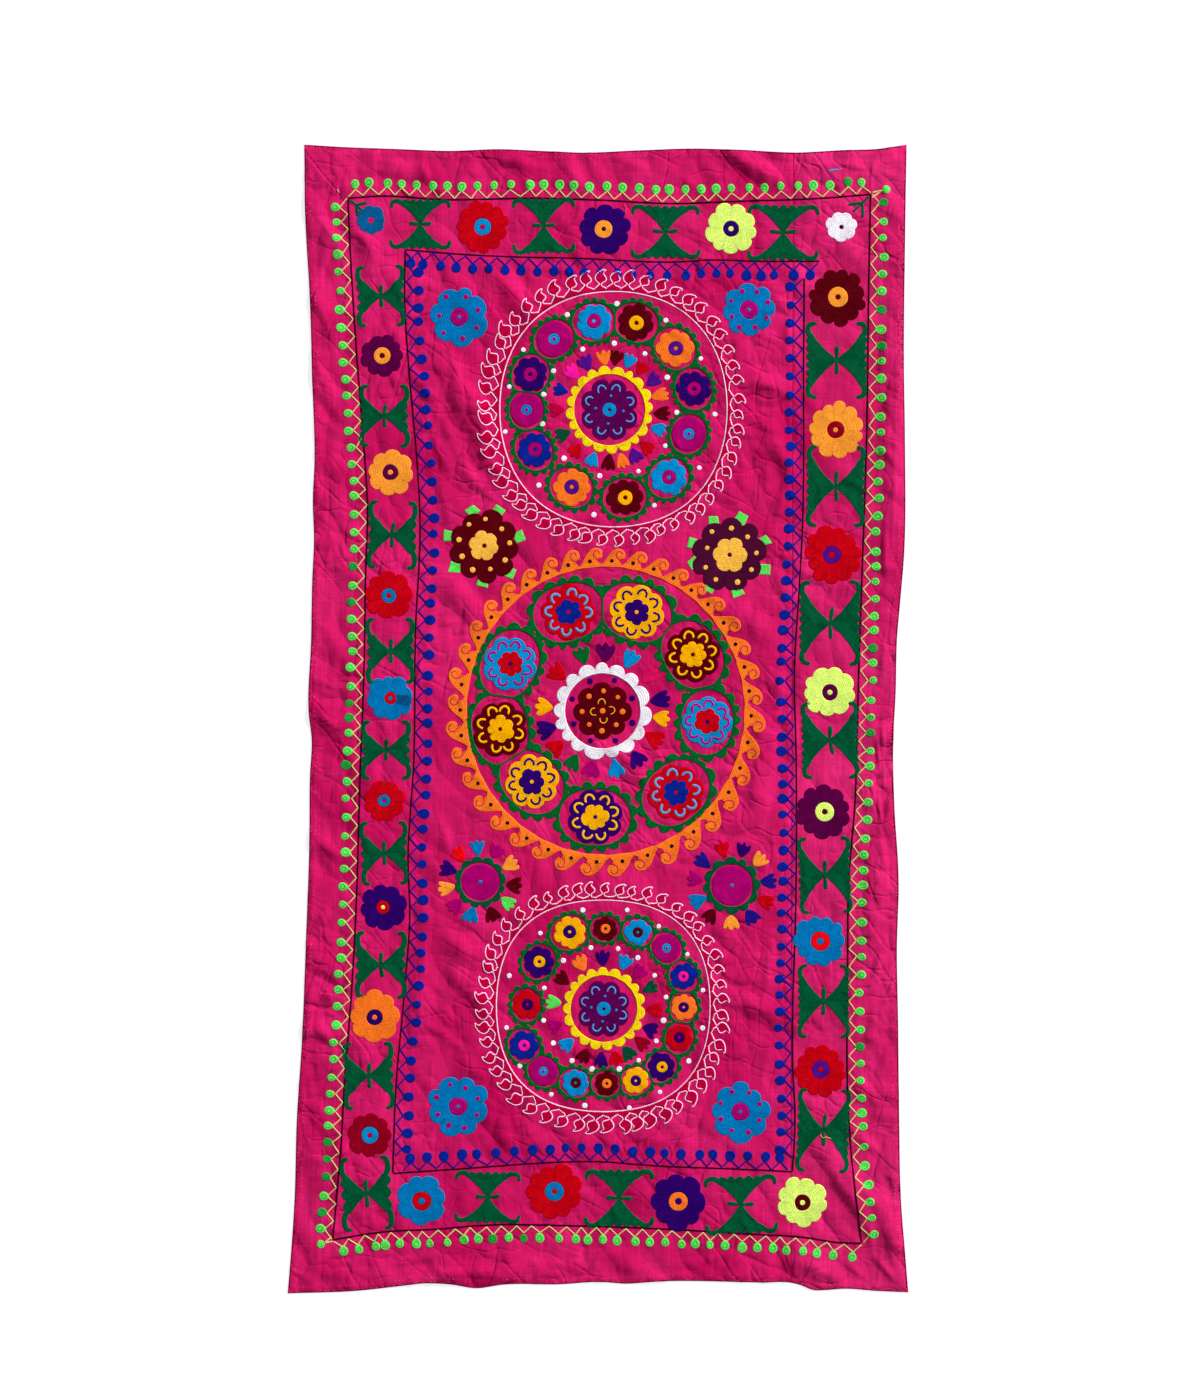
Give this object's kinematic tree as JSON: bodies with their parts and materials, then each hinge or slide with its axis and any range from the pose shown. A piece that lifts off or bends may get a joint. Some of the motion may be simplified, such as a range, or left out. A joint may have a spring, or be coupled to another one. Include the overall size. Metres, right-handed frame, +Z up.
{
  "type": "suzani embroidered hanging",
  "caption": "Rectangular cotton hanging sewn from two widths of cloth, with turned hems, lying flat with soft folds and covered in hand embroidery.",
  "frame": {"origin": "under the middle of the cloth, on the surface that it lies on", "axes": "+Y along the length to the top edge, +X to the right edge as seen from the embroidered side, +Z up out of the embroidered side"},
  "size_m": [1.086, 2.01, 0.0124],
  "materials": {
    "ground_main": "matt hand-dyed plain-weave cotton, hot pink, with coloured embroidery threads",
    "ground_side": "matt plain-weave cotton from a slightly paler dye lot, with coloured embroidery threads",
    "embroidery": "chain stitch in soft cotton and silk threads of about thirty colours, with a slight sheen"
  },
  "bodies": {
    "root": {"main_panel": "ground_main", "side_panel": "ground_side"}
  },
  "joints": []
}
